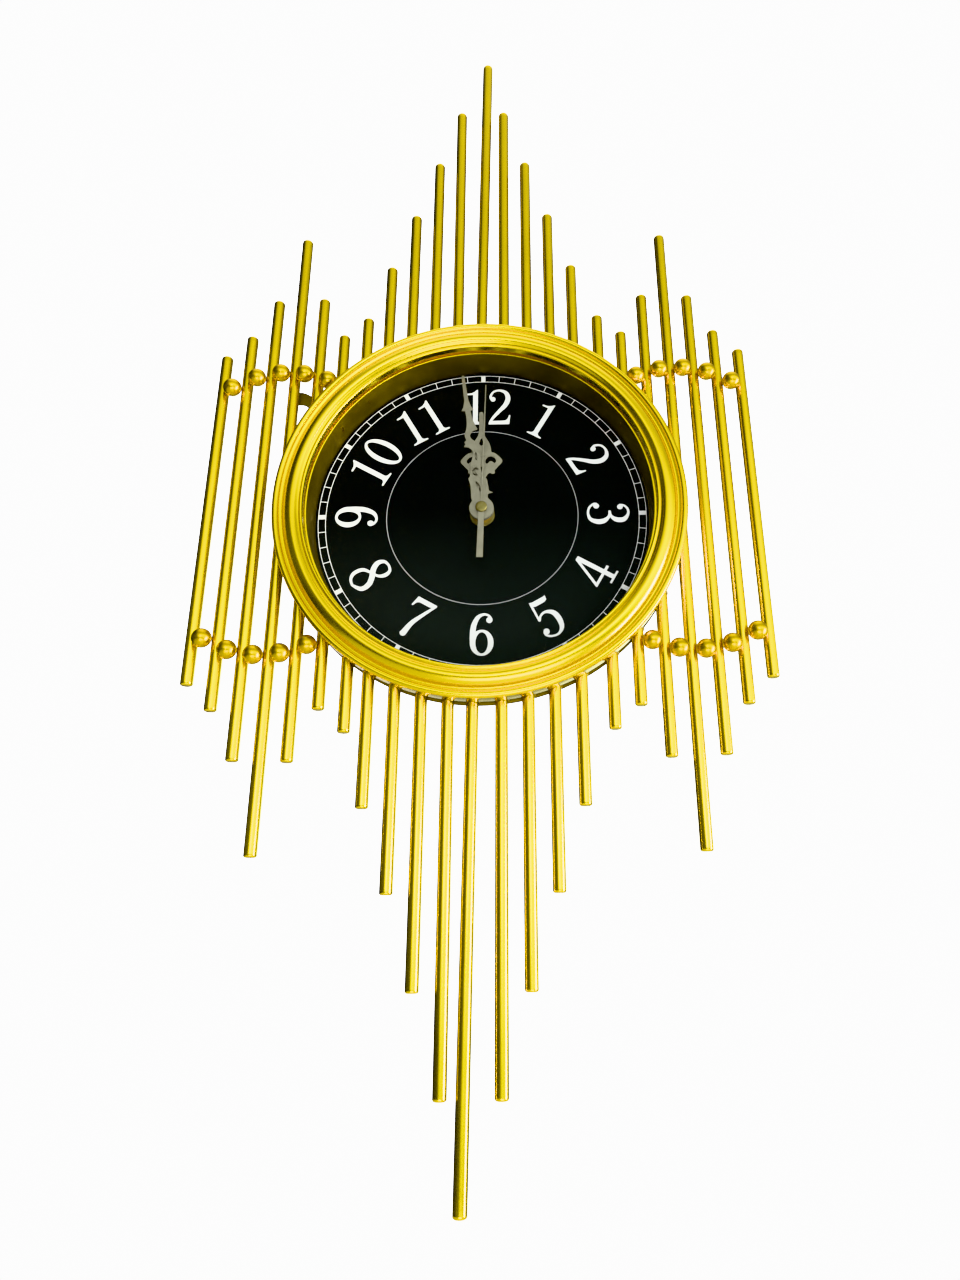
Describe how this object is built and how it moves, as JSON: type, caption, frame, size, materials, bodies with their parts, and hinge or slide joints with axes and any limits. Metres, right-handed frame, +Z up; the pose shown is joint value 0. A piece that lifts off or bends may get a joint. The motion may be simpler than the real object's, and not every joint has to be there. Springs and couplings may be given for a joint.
{
  "type": "sunburst wall clock",
  "caption": "Round black dial in a deep gold case, set in a tall diamond of upright gold rods with balls welded between the outer rods; three hands turned by a quartz movement.",
  "frame": {"origin": "on the dial axis, in the plane of the wall, at the middle of the back cover", "axes": "+Z up, -Y out of the wall towards the room, +X to the right as seen from the room"},
  "size_m": [0.3596, 0.054, 0.78],
  "materials": {
    "gold_paint": "satin gold paint on steel",
    "black_paint": "black powder coat",
    "dial_enamel": "gloss black with white print",
    "clear_glass": "polished flat glass",
    "hand_metal": "satin champagne",
    "brass": "turned",
    "black_plastic": "moulded",
    "white_plastic": "moulded",
    "copper": "enamelled winding",
    "magnet": "sintered magnet",
    "battery_sleeve": "printed-free sleeve"
  },
  "bodies": {
    "clock_case": {"rod_middle_upper": "gold_paint", "rod_middle_lower": "gold_paint", "rod_left_01_upper": "gold_paint", "rod_left_01_lower": "gold_paint", "rod_right_01_upper": "gold_paint", "rod_right_01_lower": "gold_paint", "rod_left_02_upper": "gold_paint", "rod_left_02_lower": "gold_paint", "rod_right_02_upper": "gold_paint", "rod_right_02_lower": "gold_paint", "rod_left_03_upper": "gold_paint", "rod_left_03_lower": "gold_paint", "rod_right_03_upper": "gold_paint", "rod_right_03_lower": "gold_paint", "rod_left_04_upper": "gold_paint", "rod_left_04_lower": "gold_paint", "rod_right_04_upper": "gold_paint", "rod_right_04_lower": "gold_paint", "rod_left_05_upper": "gold_paint", "rod_left_05_lower": "gold_paint", "rod_right_05_upper": "gold_paint", "rod_right_05_lower": "gold_paint", "rod_left_06_upper": "gold_paint", "rod_left_06_lower": "gold_paint", "rod_right_06_upper": "gold_paint", "rod_right_06_lower": "gold_paint", "rod_left_07": "gold_paint", "rod_right_07": "gold_paint", "rod_left_08": "gold_paint", "rod_right_08": "gold_paint", "rod_left_09": "gold_paint", "rod_right_09": "gold_paint", "rod_left_10": "gold_paint", "rod_right_10": "gold_paint", "rod_left_11": "gold_paint", "rod_right_11": "gold_paint", "bezel": "gold_paint", "case_drum": "gold_paint", "front_glass": "clear_glass", "dial_plate": "dial_enamel", "back_cover": "black_paint", "movement_case": "black_plastic", "movement_lid": "white_plastic", "battery": "battery_sleeve", "stator_coil": "copper", "bush_nut": "brass"},
    "rotor": {"rotor": "magnet"},
    "intermediate": {"intermediate_wheel": "white_plastic"},
    "seconds": {"seconds_wheel": "brass", "second_hand": "hand_metal"},
    "third": {"third_wheel": "white_plastic"},
    "centre": {"centre_wheel": "brass"},
    "minute": {"cannon_pinion": "brass", "minute_hand": "hand_metal"},
    "hour_drive": {"hour_washer": "brass"},
    "hour": {"hour_wheel": "white_plastic", "hour_hand": "hand_metal"},
    "motion_drive": {"knob_washer": "brass"},
    "motion": {"motion_wheel": "white_plastic", "setting_knob": "black_plastic"}
  },
  "joints": [
    {"name": "seconds_turn", "type": "hinge", "parent": "clock_case", "child": "seconds", "pos_m": [0, -0.02, 0], "axis": [0, 1, 0], "continuous": true},
    {"name": "rotor_turn", "type": "hinge", "parent": "clock_case", "child": "rotor", "pos_m": [-0.01212, -0.02, 0.01324], "axis": [0, 1, 0], "continuous": true},
    {"name": "intermediate_turn", "type": "hinge", "parent": "clock_case", "child": "intermediate", "pos_m": [-0.01066, -0.02, 0.00497], "axis": [0, 1, 0], "continuous": true},
    {"name": "third_turn", "type": "hinge", "parent": "clock_case", "child": "third", "pos_m": [0.00308, -0.02, 0.01149], "axis": [0, 1, 0], "continuous": true},
    {"name": "centre_turn", "type": "hinge", "parent": "clock_case", "child": "centre", "pos_m": [0, -0.02, 0], "axis": [0, 1, 0], "continuous": true},
    {"name": "set_time", "type": "hinge", "parent": "centre", "child": "minute", "pos_m": [0, -0.02, 0], "axis": [0, 1, 0], "continuous": true},
    {"name": "hour_run", "type": "hinge", "parent": "clock_case", "child": "hour_drive", "pos_m": [0, -0.02, 0], "axis": [0, 1, 0], "continuous": true},
    {"name": "hour_set", "type": "hinge", "parent": "hour_drive", "child": "hour", "pos_m": [0, -0.02, 0], "axis": [0, 1, 0], "continuous": true},
    {"name": "knob_run", "type": "hinge", "parent": "clock_case", "child": "motion_drive", "pos_m": [0.0126, -0.02, 0], "axis": [0, 1, 0], "continuous": true},
    {"name": "knob_set", "type": "hinge", "parent": "motion_drive", "child": "motion", "pos_m": [0.0126, -0.02, 0], "axis": [0, 1, 0], "continuous": true}
  ],
  "couplings": [
    {"joint": "intermediate_turn", "follows": "seconds_turn", "ratio": -6},
    {"joint": "rotor_turn", "follows": "seconds_turn", "ratio": 30},
    {"joint": "third_turn", "follows": "seconds_turn", "ratio": -0.13333},
    {"joint": "centre_turn", "follows": "seconds_turn", "ratio": 0.016667},
    {"joint": "hour_run", "follows": "seconds_turn", "ratio": 0.0013889},
    {"joint": "knob_run", "follows": "seconds_turn", "ratio": -0.0055556},
    {"joint": "hour_set", "follows": "set_time", "ratio": 0.083333},
    {"joint": "knob_set", "follows": "set_time", "ratio": -0.33333}
  ]
}
